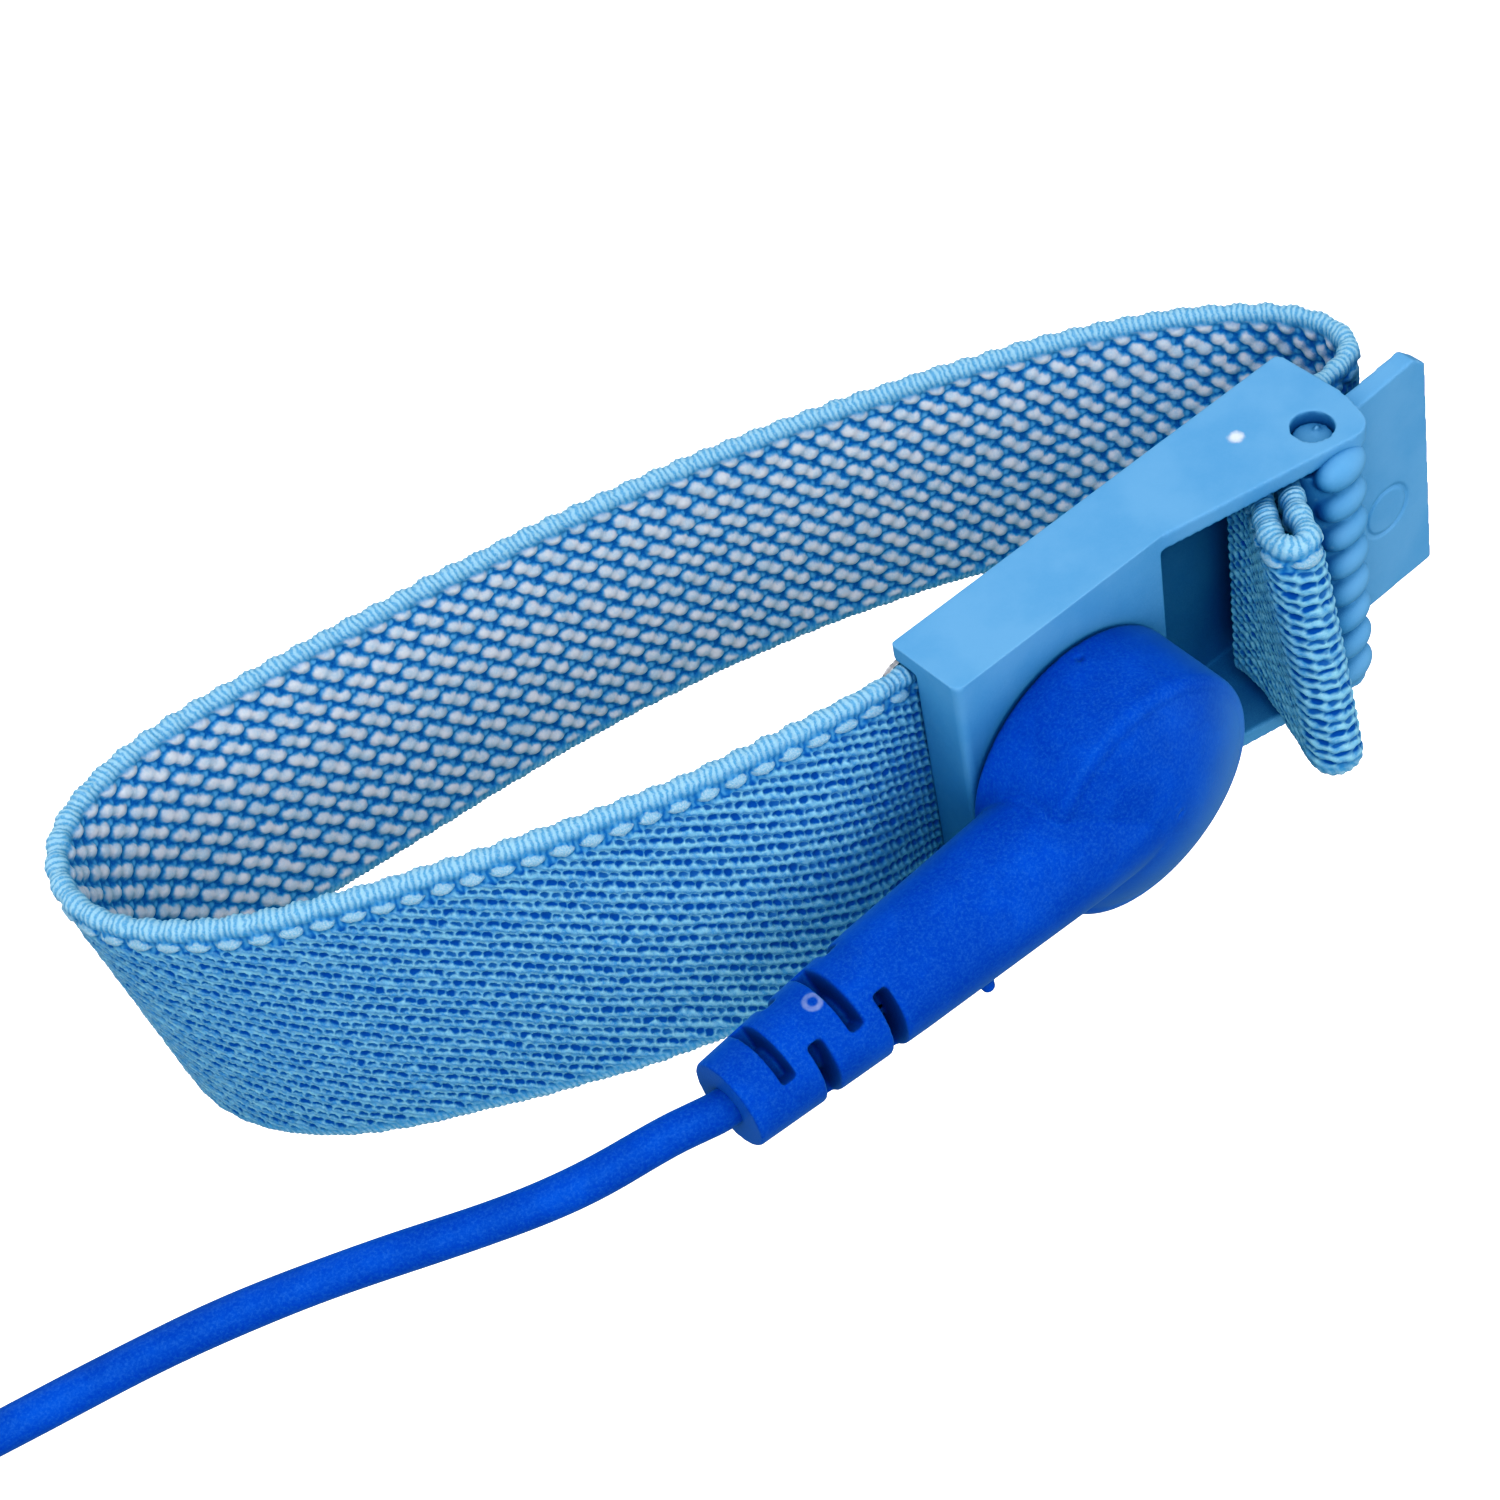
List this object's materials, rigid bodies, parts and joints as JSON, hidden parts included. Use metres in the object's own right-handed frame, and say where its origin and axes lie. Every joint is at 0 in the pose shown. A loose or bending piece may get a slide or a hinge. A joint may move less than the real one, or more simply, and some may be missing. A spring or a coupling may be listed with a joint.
{
  "type": "esd wrist strap",
  "caption": "Grounding wrist strap: elastic knit band in a cam buckle, plug with a snap socket and resistor, retractile cord and a banana plug with a crocodile clip.",
  "frame": {"origin": "on the snap's axis, on the contact plate's face that touches the wrist", "axes": "+X along the buckle from the riveted end of the band to the lever, -Y out from the wrist towards the snap, +Z across the band"},
  "size_m": [0.1502, 0.1004, 0.0233],
  "materials": {
    "sky_plastic": "fine matte grain, light sky blue",
    "knit": "elastic knit, sky blue outside, white loops inside",
    "royal_pvc": "satin royal blue PVC",
    "stainless": "brushed stainless steel",
    "nickel": "nickel plate",
    "spring_steel": "spring steel",
    "tin": "tinned copper",
    "lacquer": "blue resistor lacquer with colour bands",
    "copper": "bare copper strands"
  },
  "bodies": {
    "buckle": {"buckle_frame": "sky_plastic", "contact_plate": "stainless", "stud_post": "nickel", "snap_stud": "nickel", "band_loop": "knit", "band_tail": "knit"},
    "lever": {"clamp_lever": "sky_plastic"},
    "spring_ring": {"socket_spring": "spring_steel"},
    "snap_plug": {"plug_cap": "royal_pvc", "snap_socket": "nickel", "socket_terminal": "tin", "resistor_body": "lacquer", "resistor_lead_socket": "tin", "resistor_lead_cord": "tin", "lead_crimp": "tin", "cord_core_snap_end": "copper", "cord_lead": "royal_pvc", "cord_coil": "royal_pvc"},
    "ground_plug": {"cord_ground_lead": "royal_pvc", "ground_plug_body": "royal_pvc", "banana_pin": "nickel", "banana_spring": "spring_steel", "cord_core_ground_end": "copper"},
    "clip": {"clip_lower_jaw": "nickel", "clip_sleeve": "nickel", "clip_pivot_pin": "stainless", "clip_spring": "spring_steel"},
    "upper_jaw": {"clip_upper_jaw": "nickel"}
  },
  "joints": [
    {"name": "lever_hinge", "type": "hinge", "parent": "buckle", "child": "lever", "pos_m": [0.0217, -0.0073, 0], "axis": [0, 0, -1], "range_deg": [0, 180], "deforming": ["band_tail"]},
    {"name": "snap_release", "type": "slide", "parent": "buckle", "child": "spring_ring", "axis": [0, -1, 0], "range_m": [0, 0.012]},
    {"name": "snap_swivel", "type": "hinge", "parent": "spring_ring", "child": "snap_plug", "pos_m": [0, -0.0072, 0], "axis": [0, -1, 0], "range_deg": [-120, 120]},
    {"name": "cord_stretch", "type": "slide", "parent": "snap_plug", "child": "ground_plug", "axis": [0.5105, 0.8599, 0], "range_m": [0, 0.2], "deforming": ["cord_coil"]},
    {"name": "clip_pull", "type": "slide", "parent": "ground_plug", "child": "clip", "axis": [-0.5105, -0.8599, 0], "range_m": [0, 0.02]},
    {"name": "jaw_hinge", "type": "hinge", "parent": "clip", "child": "upper_jaw", "pos_m": [-0.10314, 0.03682, -0.005], "axis": [-0.8599, 0.5105, 0], "range_deg": [0, 20], "deforming": ["clip_spring"]}
  ]
}
